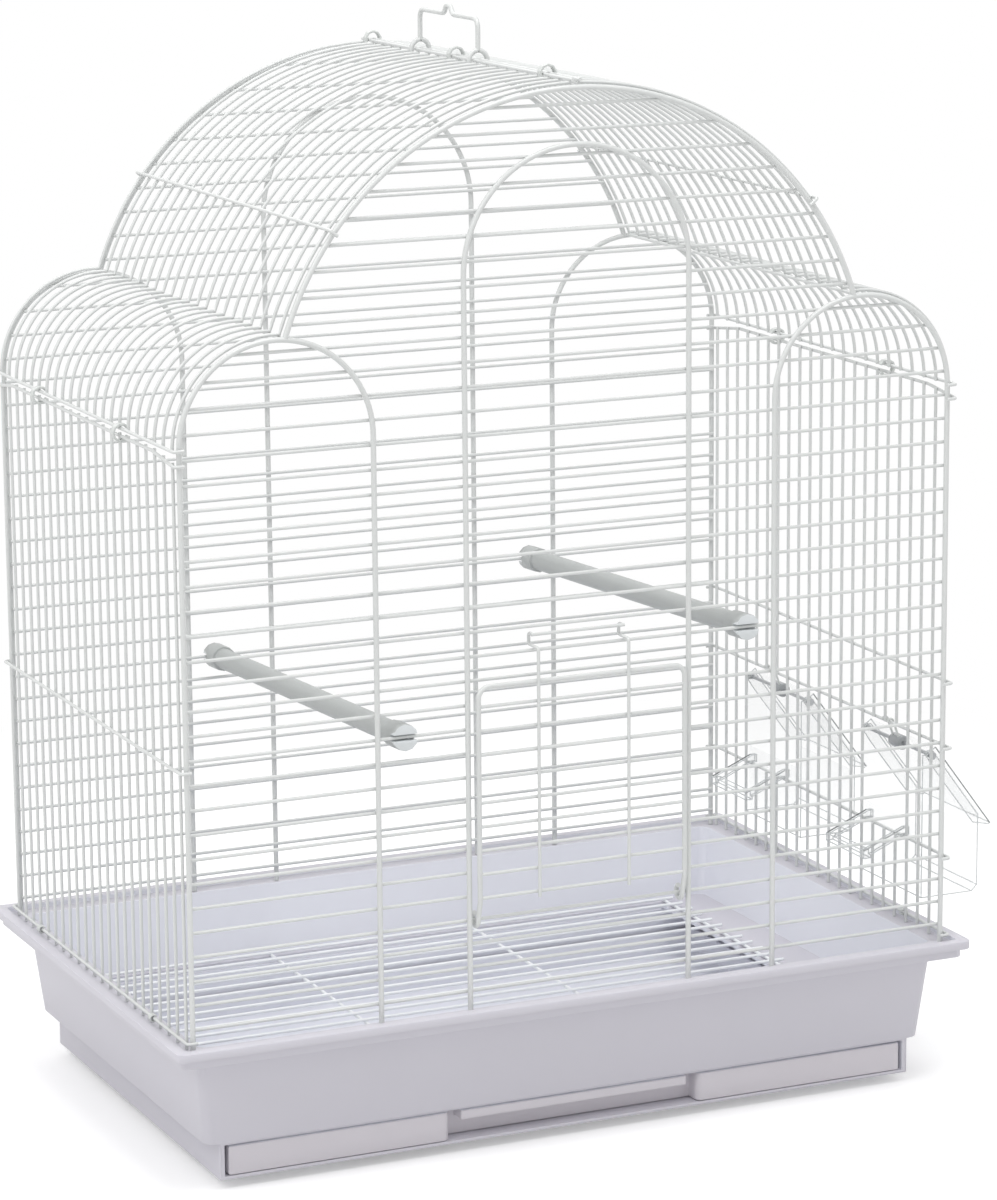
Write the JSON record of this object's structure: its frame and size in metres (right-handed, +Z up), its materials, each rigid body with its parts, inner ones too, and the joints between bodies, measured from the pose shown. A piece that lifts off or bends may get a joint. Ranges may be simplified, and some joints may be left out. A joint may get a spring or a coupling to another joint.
{
  "type": "parakeet cage",
  "caption": "Wire bird cage with a triple-arch shell roof, front door, hooded outside feeders, perches and a tub base with a slide-out tray.",
  "frame": {"origin": "centre of the overall width and depth, on the surface that the cage stands on", "axes": "+Z up, -Y towards the front with the door and the tray, +X towards the side with the two outside feeders"},
  "size_m": [0.5484, 0.332, 0.6493],
  "materials": {
    "painted_wire": "satin pale grey-white coating on steel wire",
    "base_plastic": "satin pale lavender-grey moulding",
    "foot_plastic": "matt grey",
    "clear_plastic": "clear gloss",
    "perch_plastic": "satin pale grey",
    "clip_steel": "satin light grey coating",
    "rod_steel": "bright"
  },
  "bodies": {
    "base": {"base_tub": "base_plastic", "foot_front_left": "foot_plastic", "foot_front_right": "foot_plastic", "foot_rear_left": "foot_plastic", "foot_rear_right": "foot_plastic"},
    "tray": {"slide_out_tray": "base_plastic"},
    "grate": {"floor_grate": "painted_wire"},
    "cage": {"front_panel": "painted_wire", "rear_panel": "painted_wire", "left_side_panel": "painted_wire", "right_side_panel": "painted_wire", "roof_left": "painted_wire", "roof_right": "painted_wire", "ridge_clip_front": "clip_steel", "ridge_clip_middle": "clip_steel", "ridge_clip_rear": "clip_steel", "left_joint_clip_front": "clip_steel", "left_joint_clip_rear": "clip_steel", "left_base_clip_front": "clip_steel", "left_base_clip_rear": "clip_steel", "right_joint_clip_front": "clip_steel", "right_joint_clip_rear": "clip_steel", "right_base_clip_front": "clip_steel", "right_base_clip_rear": "clip_steel", "left_perch": "perch_plastic", "right_perch": "perch_plastic", "landing_perch_front": "clear_plastic", "landing_perch_rear": "clear_plastic"},
    "door": {"front_door": "painted_wire"},
    "handle": {"carry_handle": "painted_wire"},
    "feeder_front": {"feeder_cup_front": "clear_plastic", "feeder_rod_front": "rod_steel", "feeder_clip_front": "clip_steel"},
    "hood_front": {"feeder_hood_front": "clear_plastic"},
    "feeder_rear": {"feeder_cup_rear": "clear_plastic", "feeder_rod_rear": "rod_steel", "feeder_clip_rear": "clip_steel"},
    "hood_rear": {"feeder_hood_rear": "clear_plastic"}
  },
  "joints": [
    {"name": "tray_slide", "type": "slide", "parent": "base", "child": "tray", "axis": [0, -1, 0], "range_m": [0, 0.25]},
    {"name": "grate_lift", "type": "slide", "parent": "base", "child": "grate", "axis": [0, 0, 1], "range_m": [0, 0.09]},
    {"name": "cage_lift", "type": "slide", "parent": "base", "child": "cage", "axis": [0, 0, 1], "range_m": [0, 0.1]},
    {"name": "door_hinge", "type": "hinge", "parent": "cage", "child": "door", "pos_m": [-0.02021, -0.14805, 0.14115], "axis": [1, 0, 0], "range_deg": [0, 132]},
    {"name": "handle_hinge", "type": "hinge", "parent": "cage", "child": "handle", "pos_m": [-0.02021, 0, 0.6187], "axis": [0, 1, 0], "range_deg": [-88, 88]},
    {"name": "feeder_front_lift", "type": "slide", "parent": "cage", "child": "feeder_front", "axis": [0, 0, 1], "range_m": [0, 0.03]},
    {"name": "hood_front_hinge", "type": "hinge", "parent": "feeder_front", "child": "hood_front", "pos_m": [0.23199, -0.07728, 0.195], "axis": [0, -1, 0], "range_deg": [0, 95]},
    {"name": "feeder_rear_lift", "type": "slide", "parent": "cage", "child": "feeder_rear", "axis": [0, 0, 1], "range_m": [0, 0.03]},
    {"name": "hood_rear_hinge", "type": "hinge", "parent": "feeder_rear", "child": "hood_rear", "pos_m": [0.23199, 0.07728, 0.195], "axis": [0, -1, 0], "range_deg": [0, 95]}
  ]
}
